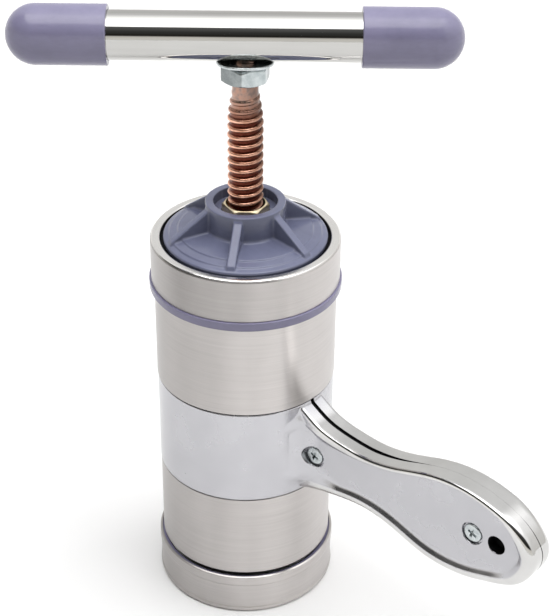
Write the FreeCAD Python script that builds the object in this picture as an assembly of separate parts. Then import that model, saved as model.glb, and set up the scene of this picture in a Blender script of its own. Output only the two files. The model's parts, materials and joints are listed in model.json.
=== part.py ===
import FreeCAD, Part
import math, os
from FreeCAD import Vector as V

# Hand cranked noodle press, millimetres, +Z up.
# Origin: centre of the bottom face of the screwed collar, on the barrel axis.
# +X runs along the side handle, the crossbar is turned by BAR_AZ about +Z.

# ---------------------------------------------------------------- driving dimensions
BORE_R = 26.5            # dough chamber radius
CORE_Z0, CORE_Z1 = 7.0, 138.0
CORE_LOW_R = 30.6        # seat of the lower sleeve
CORE_NECK_R = 28.6       # seat of the handle band
CORE_UP_R = 30.98        # seat of the upper sleeve
LOW_SLEEVE = (30.62, 31.1, 17.7, 50.95)      # inner r, outer r, z0, z1
UP_SLEEVE = (31.0, 31.5, 87.5, 122.25)
BAND = (28.65, 31.25, 51.05, 87.38)
NECK_THREAD = dict(root=29.0, crest=29.9, pitch=3.0, w_root=1.7, w_crest=0.8)
NECK_GAP = 0.25          # thread clearance, radial and along the axis
LID_TURN_Z, LID_TURNS = 125.5, 3.5
COLLAR_TURN_Z, COLLAR_TURNS = 9.3, 2.0
PITCH = 3.0              # spindle lead
SP_ROOT, SP_CREST = 4.95, 6.0
SP_W_ROOT, SP_W_CREST = 1.75, 1.15
SP_GAP = 0.2
SP_Z0, SP_TURNS = 70.5, 40.0        # first thread turn centre, number of turns
SP_SHOULDER = 69.0       # thread shoulder above the piston
SHANK_R = 4.35
NUT_AF, NUT_Z0, NUT_Z1, NUT_AZ = 14.6, 197.6, 203.35, -58.3
BRASS_AF, BRASS_Z1, BRASS_AZ = 14.2, 153.3, 41.3
TUBE_R, TUBE_RI, TUBE_Z = 8.0, 7.0, 212.35
TUBE_S0, TUBE_S1 = -69.4, 62.5
BAR_AZ = 41.1
CAP_R = 9.75
CAP_L = (-75.9, -43.4)   # end, tube side rim
CAP_RT = (69.5, 36.9)
HUB_R, HUB_REC_R, HUB_Z = 13.6, 10.8, 154.2
RIB_AZ0, RIB_T, RIB_N = 2.0, 3.0, 6
LID_SLEEVE_R, LID_SLEEVE_Z0, LID_TOP = 32.5, 125.75, 141.4
FLANGE_R, FLANGE_Z0, FLANGE_Z1 = 33.2, 122.4, 125.7
COLLAR_R, COLLAR_LIP_R, COLLAR_Z1 = 32.2, 32.5, 16.4
DIE_Z0, DIE_Z1, DIE_R = 2.8, 5.6, 28.7
DIE_HOLE_R = 1.6
HANDLE_HALF = 6.0        # half thickness of the handle
RECESS = 1.4             # depth of the panel in each handle face
HOLE = (112.9, 70.9, 3.2)           # hanging hole: x, z, radius
SCREWS = ((36.5, 68.0), (103.5, 70.6))
PISTON_Z0 = 51.0

Z = V(0, 0, 1)
O = V(0, 0, 0)


# ---------------------------------------------------------------- helpers
def cyl(r, z0, z1, x=0.0, y=0.0):
    return Part.makeCylinder(r, z1 - z0, V(x, y, z0))


def tube(ri, ro, z0, z1):
    return cyl(ro, z0, z1).cut(cyl(ri, z0 - 1, z1 + 1))


def lathe(profile):
    """solid of revolution about Z from a closed (r, z) polygon"""
    pts = [V(r, 0, z) for r, z in profile]
    face = Part.Face(Part.makePolygon(pts + [pts[0]]))
    return face.revolve(O, Z, 360)


def hexprism(af, z0, z1, vertex_az):
    r = af / math.sqrt(3)
    p = [V(r * math.cos(math.radians(vertex_az + 60 * k)),
           r * math.sin(math.radians(vertex_az + 60 * k)), z0) for k in range(6)]
    return Part.Face(Part.makePolygon(p + [p[0]])).extrude(V(0, 0, z1 - z0))


def chamfered_nut(af, z0, z1, vertex_az, c, top=True, bottom=True):
    """hexagon with its corners turned off at 30 degrees"""
    body = hexprism(af, z0, z1, vertex_az)
    rc = af / math.sqrt(3)
    rf = af / 2 + 0.05
    t = math.tan(math.radians(30))
    pts = [(0, z0)]
    pts += [(rf, z0), (rc + 0.5, z0 + (rc + 0.5 - rf) * t)] if bottom else [(rc + 0.5, z0)]
    pts += [(rc + 0.5, z1 - (rc + 0.5 - rf) * t), (rf, z1)] if top else [(rc + 0.5, z1)]
    pts += [(0, z1)]
    return body.common(lathe(pts))


def ridge(root, crest, w_root, w_crest, pitch, z0, turns, sink=0.35):
    """right-hand helical ridge of trapezoid section, its foot sunk below the root"""
    k = (w_root - w_crest) / (crest - root)
    r_in = root - sink
    w_in = w_root + k * sink
    pts = [(r_in, -w_in / 2), (crest, -w_crest / 2), (crest, w_crest / 2), (r_in, w_in / 2)]
    rails = []
    for r, dz in pts:
        h = Part.makeLongHelix(pitch, pitch * turns, r, 0, False)
        h.translate(V(0, 0, z0 + dz))
        rails.append(h)
    faces = []
    for i in range(4):
        for e, f in zip(rails[i].Edges, rails[(i + 1) % 4].Edges):
            faces.append(Part.makeRuledSurface(e, f))
    for zc, ang in ((z0, 0.0), (z0 + pitch * turns, 2 * math.pi * turns)):
        p = [V(r * math.cos(ang), r * math.sin(ang), zc + dz) for r, dz in pts]
        faces.append(Part.Face(Part.makePolygon(p + [p[0]])))
    shell = Part.Shell(Part.Compound(faces).Faces)
    if not shell.isClosed():
        shell.sewShape()
    s = Part.Solid(shell)
    if s.Volume < 0:
        s.reverse()
    return s


def thread_cutter(t, gap, z0, turns, core_z0, core_z1):
    """what an internal thread is cut with: the screw, grown by gap"""
    r = ridge(t["root"] + gap, t["crest"] + gap, t["w_root"] + 2 * gap,
              t["w_crest"] + 2 * gap, t["pitch"], z0, turns)
    return cyl(t["root"] + gap, core_z0, core_z1).fuse(r)


def along_bar(shape):
    """from a shape built along X at z = 0 to its place on the crossbar"""
    s = shape.copy()
    s.translate(V(0, 0, TUBE_Z))
    s.rotate(O, Z, BAR_AZ)
    return s


def xcyl(r, x0, x1):
    return Part.makeCylinder(r, x1 - x0, V(x0, 0, 0), V(1, 0, 0))


def xlathe(profile):
    """solid of revolution about X from a closed (x, r) polygon or wire"""
    pts = [V(x, 0, r) for x, r in profile]
    face = Part.Face(Part.makePolygon(pts + [pts[0]]))
    return face.revolve(O, V(1, 0, 0), 360)


parts = {}


def keep(name, shape):
    s = shape.removeSplitter() if name not in ("spindle_screw",) else shape
    sol = s.Solids
    assert sol, name
    out = sol[0] if len(sol) == 1 else Part.Compound(sol)
    parts[name] = out
    print("%-22s solids %d valid %s volume %.1f" % (name, len(sol), out.isValid(), sum(x.Volume for x in sol)))


# ---------------------------------------------------------------- barrel
core = lathe([
    (BORE_R, CORE_Z0 + 0.6), (BORE_R + 0.6, CORE_Z0), (28.8, CORE_Z0), (29.0, CORE_Z0 + 0.2), (29.0, 17.0),
    (CORE_LOW_R, 17.0), (CORE_LOW_R, 51.0), (CORE_NECK_R, 51.0), (CORE_NECK_R, 87.44), (CORE_UP_R, 87.44),
    (CORE_UP_R, 122.2), (29.0, 122.2), (29.0, CORE_Z1 - 0.2), (28.8, CORE_Z1), (BORE_R + 0.6, CORE_Z1),
    (BORE_R, CORE_Z1 - 0.6)])
nt = NECK_THREAD
core = core.fuse(ridge(nt["root"], nt["crest"], nt["w_root"], nt["w_crest"], nt["pitch"], LID_TURN_Z, LID_TURNS))
core = core.fuse(ridge(nt["root"], nt["crest"], nt["w_root"], nt["w_crest"], nt["pitch"], COLLAR_TURN_Z, COLLAR_TURNS))
keep("barrel_core", core)

ri, ro, z0, z1 = LOW_SLEEVE
keep("lower_sleeve", lathe([(ri, z0), (ro - 0.15, z0), (ro, z0 + 0.25), (ro, z1 - 0.12), (ro - 0.12, z1), (ri, z1)]))
ri, ro, z0, z1 = UP_SLEEVE
keep("upper_sleeve", lathe([(ri, z0), (ro - 0.2, z0), (ro, z0 + 0.25), (ro, z1 - 0.2), (ro - 0.2, z1), (ri, z1)]))

# ---------------------------------------------------------------- side handle, two shells with their seam on y = 0
TOP = [(31.0, 86.6), (34.4, 84.5), (38.6, 82.6), (43.3, 81.3), (50.0, 80.4), (58.0, 80.0), (65.7, 80.8),
       (72.6, 82.5), (79.2, 84.7), (88.9, 87.4), (96.0, 88.2), (103.6, 87.8), (110.4, 86.4),
       (116.2, 84.2), (121.0, 81.2), (125.0, 77.0), (127.5, 73.0)]
TIP = [(128.4, 69.6)]
BOTTOM = [(127.6, 66.0), (126.0, 62.4), (122.9, 59.0), (117.6, 56.3), (111.4, 54.1), (103.6, 52.0), (96.5, 51.1),
          (89.5, 51.1), (83.6, 52.0), (78.0, 53.6), (72.4, 55.4), (66.0, 56.9), (60.0, 57.5),
          (54.0, 57.2), (47.5, 56.2), (40.5, 54.7), (35.0, 53.2), (31.0, 51.9)]
curve = Part.BSplineCurve()
curve.interpolate([V(24.0, 0, 90.9)] + [V(x, 0, z) for x, z in TOP + TIP + BOTTOM] + [V(24.0, 0, 49.2)])
SAMPLES = []
a, b = curve.FirstParameter, curve.LastParameter
for i in range(121):
    t = a + (b - a) * i / 120
    p, d = curve.value(t), curve.tangent(t)[0]
    SAMPLES.append((p.x, p.z, d.x, d.z))


def outline(off, x_min, x_max=1e9, n=3):
    """wire of the handle outline moved inwards by off, closed by straight lines at x_min and x_max"""
    pts = []
    for x, z, dx, dz in SAMPLES[::n]:
        px, pz = x + dz * off, z - dx * off
        pts.append((px, pz))
    mid = len(pts) // 2
    upper = [p for p in pts[:mid + 1]]
    lower = [p for p in pts[mid:]]

    def at(seq, xv):
        for (x0, z0), (x1, z1) in zip(seq, seq[1:]):
            if (x0 - xv) * (x1 - xv) <= 0 and x0 != x1:
                return z0 + (z1 - z0) * (xv - x0) / (x1 - x0)
        raise ValueError(xv)

    def spline(seq):
        c = Part.BSplineCurve()
        c.interpolate([V(x, 0, z) for x, z in seq])
        return c.toShape()
    if x_max > 500:
        seq = [(x_min, at(upper, x_min))] + [p for p in pts if p[0] > x_min + 0.8] + [(x_min, at(lower, x_min))]
        e = spline(seq)
        return Part.Wire([e, Part.makeLine(V(x_min, 0, seq[-1][1]), V(x_min, 0, seq[0][1]))])
    up = [(x_min, at(upper, x_min))] + [p for p in upper if x_min + 0.8 < p[0] < x_max - 0.8] + [(x_max, at(upper, x_max))]
    lo = [(x_max, at(lower, x_max))] + [p for p in lower if x_min + 0.8 < p[0] < x_max - 0.8] + [(x_min, at(lower, x_min))]
    return Part.Wire([spline(up), Part.makeLine(V(x_max, 0, up[-1][1]), V(x_max, 0, lo[0][1])),
                      spline(lo), Part.makeLine(V(x_min, 0, lo[-1][1]), V(x_min, 0, up[0][1]))])


def prism(wire, y0, y1):
    f = Part.Face(wire)
    f.translate(V(0, y0, 0))
    return f.extrude(V(0, y1 - y0, 0))


def half_handle():
    """the y < 0 half: grip, neck and half of the band"""
    body = prism(outline(0.0, 25.0), -0.45, -HANDLE_HALF)
    rim = [e for e in body.Edges if abs(e.BoundBox.YMin + HANDLE_HALF) < 1e-3
           and abs(e.BoundBox.YMax + HANDLE_HALF) < 1e-3 and e.BoundBox.XLength > 50]
    body = body.makeFillet(2.4, rim)
    body = body.fuse(prism(outline(0.5, 25.0), 0.0, -0.45))
    band = lathe([(BAND[0], BAND[2]), (BAND[1] - 0.25, BAND[2]), (BAND[1], BAND[2] + 0.3), (BAND[1], BAND[3] - 0.3),
                  (BAND[1] - 0.25, BAND[3]), (BAND[0], BAND[3])])
    band = band.common(Part.makeBox(80, 40, 60, V(-40, -40, 40)))
    body = body.common(Part.makeBox(120, 20, BAND[3] - BAND[2], V(20, -20, BAND[2])).fuse(
        Part.makeBox(100, 20, 60, V(31.2, -20, 40))))
    body = body.fuse(band)
    body = body.cut(cyl(BAND[0], 40, 100))
    # sunk panel in the face
    panel = prism(outline(3.0, 34.0), -(HANDLE_HALF - RECESS), -HANDLE_HALF - 1)
    body = body.cut(panel)
    # hollow behind the panel
    body = body.cut(prism(outline(4.4, 47.0, 95.0), 1.0, -2.6))
    return body


def ycyl(r, x, z, y0, y1):
    return Part.makeCylinder(r, abs(y1 - y0), V(x, min(y0, y1), z), V(0, 1, 0))


front = half_handle()
back = front.mirror(O, V(0, 1, 0))
# lap at the far side of the band: an inner tongue on the front shell
wedge = cyl(BAND[0] + 1.25, BAND[2], BAND[3]).cut(cyl(BAND[0], 40, 100)).common(
    Part.makeBox(6, 3.0, 60, V(-32, 0.0, 40)))
front = front.fuse(wedge)
back = back.cut(cyl(BAND[0] + 1.3, 40, 100).common(Part.makeBox(6, 4.05, 60, V(-32, -1, 40))))
for s in (1, -1):
    hole = ycyl(HOLE[2], HOLE[0], HOLE[1], -8, 8)
    if s == 1:
        front = front.cut(hole)
    else:
        back = back.cut(hole)
face_y = HANDLE_HALF - RECESS
for x, z in SCREWS:
    front = front.cut(ycyl(4.05, x, z, -8, -(face_y - 1.6)))
    front = front.cut(ycyl(1.65, x, z, -8, 1))
    back = back.cut(ycyl(2.25, x, z, -1, 3.7))
keep("handle_front_shell", front)
keep("handle_back_shell", back)

screws, inserts = [], []
for x, z in SCREWS:
    y_seat = -(face_y - 1.6)
    head = Part.makeCylinder(3.4, 1.5, V(x, y_seat, z), V(0, -1, 0))
    e = [q for q in head.Edges if abs(q.BoundBox.YMin - (y_seat - 1.5)) < 1e-3 and abs(q.BoundBox.YMax - (y_seat - 1.5)) < 1e-3]
    head = head.makeFillet(0.7, e)
    for ang in (0, 90):
        slot = Part.makeBox(3.4, 1.1, 0.95, V(x - 1.7, y_seat - 1.6, z - 0.475))
        slot.rotate(V(x, 0, z), V(0, 1, 0), ang + 22)
        head = head.cut(slot)
    screws.append(head.fuse(ycyl(1.5, x, z, y_seat, 2.6)))
    inserts.append(ycyl(2.23, x, z, 0.05, 3.65).cut(ycyl(1.52, x, z, -1, 3.0)))
parts["handle_screws"] = Part.Compound(screws)
parts["handle_inserts"] = Part.Compound(inserts)

# ---------------------------------------------------------------- lid: moulded cap, steel sleeve, nut, gasket
SKIRT_R = 31.95
cap = lathe([
    (0, 139.5), (29.25, 139.5), (29.25, FLANGE_Z0 + 1.2), (30.2, FLANGE_Z0), (FLANGE_R - 0.9, FLANGE_Z0),
    (FLANGE_R, FLANGE_Z0 + 1.0), (FLANGE_R, FLANGE_Z1 - 0.3), (FLANGE_R - 0.25, FLANGE_Z1), (SKIRT_R, FLANGE_Z1),
    (SKIRT_R, 139.3), (31.4, 139.75), (28.15, 139.75), (28.1, 141.3), (27.6, 141.75), (26.1, 142.3), (25.8, 142.8),
    (23.2, 143.3), (22.9, 143.8), (HUB_R + 0.4, 144.9), (HUB_R, 145.3), (HUB_R - 0.1, HUB_Z - 0.5),
    (HUB_R - 0.6, HUB_Z), (HUB_REC_R + 0.35, HUB_Z), (HUB_REC_R, HUB_Z - 0.35), (HUB_REC_R, 150.6), (0, 150.6)])
for k in range(RIB_N):
    az = RIB_AZ0 + 60 * k
    p = [V(12.0, 0, 141.0), V(12.0, 0, HUB_Z - 1.2), (V(13.4, 0, HUB_Z - 1.2)), V(26.4, 0, 143.4), V(26.9, 0, 142.6), V(26.9, 0, 141.0)]
    rib = Part.Face(Part.makePolygon(p + [p[0]])).extrude(V(0, RIB_T, 0))
    rib.translate(V(0, -RIB_T / 2, 0))
    top = [e for e in rib.Edges if e.BoundBox.ZMin > 143.3 and e.BoundBox.XLength > 10 and e.BoundBox.YLength < 0.01]
    rib = rib.makeFillet(0.5, top)
    rib.rotate(O, Z, az)
    cap = cap.fuse(rib)
cap = cap.cut(cyl(HUB_REC_R, 150.6, 160))
cap = cap.cut(cyl(10.55, 139.0, 142.5))
cap = cap.cut(hexprism(BRASS_AF + 0.1, 142.0, 151.0, BRASS_AZ))
cap = cap.cut(thread_cutter(nt, NECK_GAP, LID_TURN_Z - 6.0, 5.6, 115.0, 139.5))
keep("lid_cap", cap)

# thin drawn sleeve with its top rim rolled inwards
sleeve = lathe([
    (SKIRT_R + 0.03, LID_SLEEVE_Z0), (LID_SLEEVE_R - 0.2, LID_SLEEVE_Z0), (LID_SLEEVE_R, LID_SLEEVE_Z0 + 0.25),
    (LID_SLEEVE_R, LID_TOP - 1.0), (LID_SLEEVE_R - 0.15, LID_TOP - 0.5), (LID_SLEEVE_R - 0.55, LID_TOP - 0.15),
    (LID_SLEEVE_R - 1.1, LID_TOP), (30.2, LID_TOP - 0.05), (29.3, LID_TOP - 0.3), (28.85, LID_TOP - 0.7), (28.75, LID_TOP - 1.2),
    (28.8, LID_TOP - 1.55), (29.25, LID_TOP - 1.55), (29.25, LID_TOP - 1.25), (29.5, LID_TOP - 0.9), (30.3, LID_TOP - 0.6),
    (31.3, LID_TOP - 0.55), (31.75, LID_TOP - 0.75), (SKIRT_R + 0.03, LID_TOP - 1.2)])
keep("lid_sleeve", sleeve)
keep("lid_gasket", lathe([(26.9, 138.0), (28.9, 138.0), (29.0, 138.2), (29.0, 139.3), (28.9, 139.5), (26.9, 139.5), (26.8, 139.3), (26.8, 138.2)]))

sp = dict(root=SP_ROOT, crest=SP_CREST, w_root=SP_W_ROOT, w_crest=SP_W_CREST, pitch=PITCH)
nut = chamfered_nut(BRASS_AF, 142.4, BRASS_Z1, BRASS_AZ, 0.6, bottom=False)
nut = nut.fuse(lathe([(0, 139.55), (10.3, 139.55), (10.5, 139.75), (10.5, 142.2), (10.3, 142.45), (0, 142.45)]))
nut = nut.cut(thread_cutter(sp, SP_GAP, SP_Z0 + 21 * PITCH, 8.0, 130, 160))
nut = nut.cut(lathe([(0, BRASS_Z1 - 1.6), (SP_ROOT + SP_GAP, BRASS_Z1 - 1.6), (SP_CREST + 0.55, BRASS_Z1 + 0.01), (0, BRASS_Z1 + 0.01)]))
keep("spindle_nut", nut)

# ---------------------------------------------------------------- spindle and crossbar
top_thread = SP_Z0 + PITCH * SP_TURNS
screw = lathe([
    (0, 57.6), (3.7, 57.6), (4.0, 57.9), (4.0, SP_SHOULDER), (SP_ROOT, SP_SHOULDER), (SP_ROOT, top_thread + 0.4),
    (SHANK_R, top_thread + 1.4), (SHANK_R, NUT_Z0), (3.95, NUT_Z0), (3.95, 212.25), (3.6, 212.65), (0, 212.65)])
screw = screw.fuse(ridge(SP_ROOT, SP_CREST, SP_W_ROOT, SP_W_CREST, PITCH, SP_Z0, SP_TURNS))
screw = screw.cut(cyl(2.5, 50, 68.0))
keep("spindle_screw", screw)

keep("crossbar_nut", chamfered_nut(NUT_AF, NUT_Z0, NUT_Z1, NUT_AZ, 0.6).cut(cyl(4.0, 190, 210)))
# dished washer: a round blank bent about the tube's direction
BEND_R, WASHER_T, WASHER_R = 44.0, 1.0, 9.4
zc = NUT_Z1 + WASHER_T + BEND_R
bent = Part.makeCylinder(BEND_R + WASHER_T, 40, V(-20, 0, zc), V(1, 0, 0)).cut(
    Part.makeCylinder(BEND_R, 42, V(-21, 0, zc), V(1, 0, 0)))
bent = bent.common(Part.makeBox(40, 40, 12, V(-20, -20, NUT_Z1 - 1)))
bent.rotate(O, Z, BAR_AZ)
keep("crossbar_washer", bent.common(cyl(WASHER_R, 195, 215)).cut(cyl(4.0, 190, 215)))

bar = xcyl(TUBE_R, TUBE_S0, TUBE_S1).cut(xcyl(TUBE_RI, TUBE_S0 - 1, TUBE_S1 + 1))
bar = along_bar(bar).cut(cyl(4.1, 200, TUBE_Z))
keep("crossbar_tube", bar)
keep("crossbar_lock_nut", chamfered_nut(10.2, TUBE_Z - 4.4, TUBE_Z - 0.7, BAR_AZ, 0.4).cut(cyl(4.0, 200, 215)))


def bar_cap(end, rim):
    s = 1 if end > 0 else -1
    L = abs(end) - abs(rim)
    out = [(0.0, 0.0), (0.0, CAP_R - 0.45), (0.12, CAP_R - 0.15), (0.45, CAP_R)]
    out += [(L - CAP_R + CAP_R * math.sin(math.radians(t)), CAP_R * math.cos(math.radians(t))) for t in range(0, 85, 6)]
    out += [(L, 0.0)]
    depth = abs(TUBE_S1 if end > 0 else TUBE_S0) - abs(rim) + 0.2
    body = xlathe([(x, r) for x, r in out]).cut(xcyl(TUBE_R + 0.02, -1, depth))
    if s < 0:
        body = body.mirror(O, V(1, 0, 0))
    body.translate(V(rim, 0, 0))
    return along_bar(body)


keep("left_end_cap", bar_cap(*CAP_L))
keep("right_end_cap", bar_cap(*CAP_RT))

# ---------------------------------------------------------------- piston
pz = PISTON_Z0
keep("press_face", lathe([(0, pz), (25.5, pz), (25.8, pz + 0.3), (25.8, pz + 1.2), (0, pz + 1.2)]))
plate = lathe([
    (0, pz + 1.2), (26.1, pz + 1.2), (26.1, pz + 6.4), (24.6, pz + 6.4), (24.6, pz + 9.4), (26.1, pz + 9.4), (26.1, pz + 12.5),
    (25.6, pz + 13.0), (23.6, pz + 13.0), (23.4, pz + 10.6), (12.0, pz + 9.8), (11.0, pz + 10.6), (10.2, pz + 17.0), (0, pz + 17.0)])
for k in range(6):
    rib = Part.makeBox(14.5, 2.0, 3.4, V(9.5, -1.0, pz + 9.0))
    rib.rotate(O, Z, 60 * k + 30)
    plate = plate.fuse(rib)
plate = plate.cut(cyl(4.08, pz, pz + 20)).cut(cyl(6.6, pz, pz + 6.75))
keep("press_plate", plate)
keep("press_seal", lathe([(24.65, pz + 6.5), (26.0, pz + 6.5), (26.38, pz + 6.9), (26.05, pz + 7.9), (26.38, pz + 8.9), (26.0, pz + 9.3), (24.65, pz + 9.3)]))
keep("press_washer", lathe([(4.03, pz + 17.05), (8.3, pz + 17.05), (8.5, pz + 17.25), (8.5, pz + 17.75), (8.3, pz + 17.95), (4.03, pz + 17.95)]))
pscrew = lathe([(0, pz + 3.4), (5.0, pz + 3.4), (6.0, pz + 4.4), (6.0, pz + 6.6), (2.48, pz + 6.6), (2.48, pz + 16.0), (0, pz + 16.0)])
for ang in (0, 90):
    slot = Part.makeBox(6.0, 1.1, 1.6, V(-3.0, -0.55, pz + 3.0))
    slot.rotate(O, Z, ang)
    pscrew = pscrew.cut(slot)
keep("press_screw", pscrew)

# ---------------------------------------------------------------- die and collar
die = lathe([(0, DIE_Z0), (DIE_R - 0.3, DIE_Z0), (DIE_R, DIE_Z0 + 0.3), (DIE_R, DIE_Z1 - 0.3), (DIE_R - 0.3, DIE_Z1), (0, DIE_Z1)])
holes = []
STEP = 6.2
for i in range(-4, 5):
    for j in range(-4, 5):
        x, y = STEP * (i + 0.5 * j), STEP * j * math.sqrt(3) / 2
        if math.hypot(x, y) < 22.6:
            holes.append(cyl(DIE_HOLE_R, DIE_Z0 - 1, DIE_Z1 + 1, x, y))
print("die holes", len(holes))
die = die.cut(Part.Compound(holes))
keep("die_plate", die)
keep("die_gasket", lathe([(26.7, DIE_Z1), (28.6, DIE_Z1), (28.6, CORE_Z0), (26.7, CORE_Z0)]))

RING_R = 31.55
ring = lathe([
    (26.0, 0.85), (RING_R, 0.85), (RING_R, 15.6), (30.4, 15.6), (29.25, 14.6), (29.25, DIE_Z0), (26.0, DIE_Z0)])
ring = ring.cut(thread_cutter(nt, NECK_GAP, COLLAR_TURN_Z - 3.0, 4.6, 6.5, 14.61))
keep("collar_ring", ring)
t = 0.6
outer = [(27.0, 0.0), (COLLAR_LIP_R - 1.0, 0.0), (COLLAR_LIP_R - 0.35, 0.25), (COLLAR_LIP_R, 0.9), (COLLAR_LIP_R - 0.1, 1.6), (COLLAR_R, 2.2),
         (COLLAR_R, COLLAR_Z1 - 4.3), (COLLAR_LIP_R, COLLAR_Z1 - 3.7), (COLLAR_LIP_R, COLLAR_Z1 - 0.5),
         (COLLAR_LIP_R - 0.25, COLLAR_Z1 - 0.12), (COLLAR_LIP_R - 0.6, COLLAR_Z1)]
inner = [(RING_R + 0.03, COLLAR_Z1), (RING_R + 0.03, 0.8), (27.0, 0.8)]
keep("bottom_collar", lathe(outer + inner))

# ---------------------------------------------------------------- write
os.makedirs("parts", exist_ok=True)
for f in os.listdir("parts"):
    if f.endswith(".step"):
        os.remove(os.path.join("parts", f))
for name, shape in parts.items():
    shape.exportStep("parts/%s.step" % name)
print(len(parts), "parts")
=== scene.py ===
import bpy, bmesh, json, math
import numpy as np
from mathutils import Vector, Matrix
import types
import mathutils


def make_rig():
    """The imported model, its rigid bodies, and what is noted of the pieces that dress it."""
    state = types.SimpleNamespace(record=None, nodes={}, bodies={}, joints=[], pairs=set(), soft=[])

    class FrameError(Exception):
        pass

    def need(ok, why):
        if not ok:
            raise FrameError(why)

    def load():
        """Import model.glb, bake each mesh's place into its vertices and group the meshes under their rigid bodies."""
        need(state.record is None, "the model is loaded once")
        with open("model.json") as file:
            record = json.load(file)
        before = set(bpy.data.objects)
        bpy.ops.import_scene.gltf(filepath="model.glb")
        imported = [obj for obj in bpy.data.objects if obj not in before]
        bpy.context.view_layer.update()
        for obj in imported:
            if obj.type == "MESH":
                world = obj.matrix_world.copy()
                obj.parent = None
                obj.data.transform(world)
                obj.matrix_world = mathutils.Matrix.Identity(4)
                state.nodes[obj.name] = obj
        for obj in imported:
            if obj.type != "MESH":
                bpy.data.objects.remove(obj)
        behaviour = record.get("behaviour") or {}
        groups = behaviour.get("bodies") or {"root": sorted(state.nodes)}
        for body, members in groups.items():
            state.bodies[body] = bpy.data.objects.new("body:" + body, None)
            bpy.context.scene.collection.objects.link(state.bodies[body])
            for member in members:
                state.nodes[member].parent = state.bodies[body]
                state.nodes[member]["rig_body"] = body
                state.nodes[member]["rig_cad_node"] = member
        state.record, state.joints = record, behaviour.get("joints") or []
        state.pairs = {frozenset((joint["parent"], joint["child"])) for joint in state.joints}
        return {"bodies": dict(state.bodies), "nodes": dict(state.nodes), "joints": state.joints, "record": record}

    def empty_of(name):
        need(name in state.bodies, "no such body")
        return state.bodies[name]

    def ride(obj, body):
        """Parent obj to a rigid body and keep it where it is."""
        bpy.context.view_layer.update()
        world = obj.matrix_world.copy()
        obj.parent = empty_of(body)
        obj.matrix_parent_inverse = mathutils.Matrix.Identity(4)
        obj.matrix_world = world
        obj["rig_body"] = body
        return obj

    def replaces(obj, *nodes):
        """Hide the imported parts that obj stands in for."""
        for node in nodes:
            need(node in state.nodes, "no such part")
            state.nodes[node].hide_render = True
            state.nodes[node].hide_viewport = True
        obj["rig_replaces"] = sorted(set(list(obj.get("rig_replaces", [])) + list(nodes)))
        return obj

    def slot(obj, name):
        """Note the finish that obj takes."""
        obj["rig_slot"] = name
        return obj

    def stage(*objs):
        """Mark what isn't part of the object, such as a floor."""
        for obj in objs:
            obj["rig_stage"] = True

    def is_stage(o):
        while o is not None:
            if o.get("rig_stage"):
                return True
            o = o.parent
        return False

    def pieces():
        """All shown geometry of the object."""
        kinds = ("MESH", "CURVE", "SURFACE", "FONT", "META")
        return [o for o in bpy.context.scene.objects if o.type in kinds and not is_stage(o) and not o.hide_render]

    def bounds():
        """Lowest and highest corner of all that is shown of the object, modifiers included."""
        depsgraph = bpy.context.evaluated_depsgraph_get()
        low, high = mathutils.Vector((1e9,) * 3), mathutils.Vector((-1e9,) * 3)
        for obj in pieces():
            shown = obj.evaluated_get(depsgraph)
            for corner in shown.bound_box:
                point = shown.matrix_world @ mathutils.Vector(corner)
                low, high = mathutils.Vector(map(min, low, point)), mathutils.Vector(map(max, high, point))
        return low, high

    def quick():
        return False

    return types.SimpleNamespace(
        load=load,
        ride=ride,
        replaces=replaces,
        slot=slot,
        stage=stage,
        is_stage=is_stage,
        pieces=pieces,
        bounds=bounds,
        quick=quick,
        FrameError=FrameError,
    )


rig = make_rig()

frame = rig.load()
cad_lo, cad_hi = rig.bounds()
MM = 0.001
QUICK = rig.quick()

# ------------------------------------------------------------------ dimensions, millimetres, the frame's own
TUBE_Z, BAR_AZ = 212.35, math.radians(41.1)
TUBE_R = 8.0
BAND_R, BAND_RI, BAND_Z0, BAND_Z1 = 31.25, 28.65, 51.05, 87.38
PANEL_Y, HALF = 4.6, 6.0
HOLE = (112.9, 70.9, 3.2)
SCREWS = ((36.5, 68.0), (103.5, 70.6))
TURN = math.radians(41.3)          # from the picture's own axes to the frame's


def turned(x, y, z):
    c, s = math.cos(TURN), math.sin(TURN)
    return Vector((c * x - s * y, s * x + c * y, z))


# ------------------------------------------------------------------ camera
def camera():
    data = bpy.data.cameras.new("camera")
    cam = bpy.data.objects.new("camera", data)
    bpy.context.scene.collection.objects.link(cam)
    at = turned(10.2167, -469.9071, 400.5965) * MM
    right = turned(0.9999565, 0.00488599, 0.0079457)
    up = turned(-0.00932775, 0.52378907, 0.85179693)
    back = turned(0.0, -0.85183399, 0.52381185)
    m = Matrix(((right.x, up.x, back.x, at.x), (right.y, up.y, back.y, at.y),
                (right.z, up.z, back.z, at.z), (0, 0, 0, 1)))
    cam.matrix_world = m
    data.sensor_fit = "AUTO"
    data.sensor_width = 36.0
    data.lens = 1579.29 * 36.0 / 616.0
    data.clip_start, data.clip_end = 0.01, 50.0
    bpy.context.scene.camera = cam


camera()

# ------------------------------------------------------------------ studio
view = bpy.context.scene.view_settings
view.view_transform = "Standard"
view.look = "None"
view.exposure = 0.0
view.gamma = 1.0


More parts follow.
